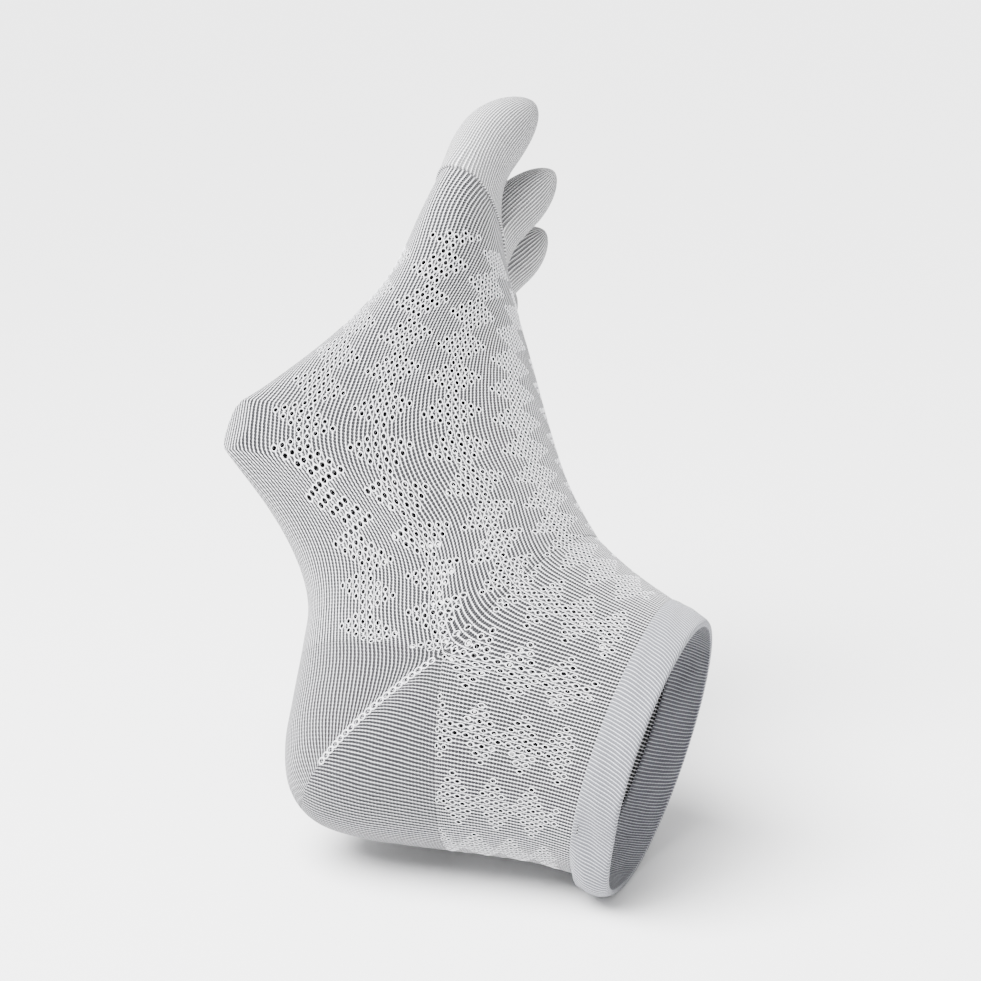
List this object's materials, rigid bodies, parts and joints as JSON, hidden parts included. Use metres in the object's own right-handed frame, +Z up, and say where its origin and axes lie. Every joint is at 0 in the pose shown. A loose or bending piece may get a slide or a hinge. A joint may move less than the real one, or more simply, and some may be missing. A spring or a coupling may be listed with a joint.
{
  "type": "toe sock",
  "caption": "Worn knitted ankle sock with a lace leg and instep, a plain sole, a turned heel, a double welt and separate toe pockets.",
  "frame": {"origin": "middle of the cuff's mouth, where the foot goes in", "axes": "+X out of the mouth along the leg, which slopes 10 degrees down; +Z up towards the toes; -Y towards the arch side; the foot leans 47 degrees back towards its outer side"},
  "size_m": [0.1438, 0.1731, 0.1999],
  "materials": {
    "welt_knit": "light grey double-layer plain knit",
    "lace_knit": "light grey fine knit with pierced eyelets",
    "heel_knit": "light grey plain knit",
    "toe_knit": "light grey plain knit"
  },
  "bodies": {
    "root": {"cuff": "welt_knit", "leg": "lace_knit", "heel_pocket": "heel_knit", "foot": "lace_knit", "big_toe": "toe_knit", "second_toe": "toe_knit", "third_toe": "toe_knit", "fourth_toe": "toe_knit", "little_toe": "toe_knit"}
  },
  "joints": []
}
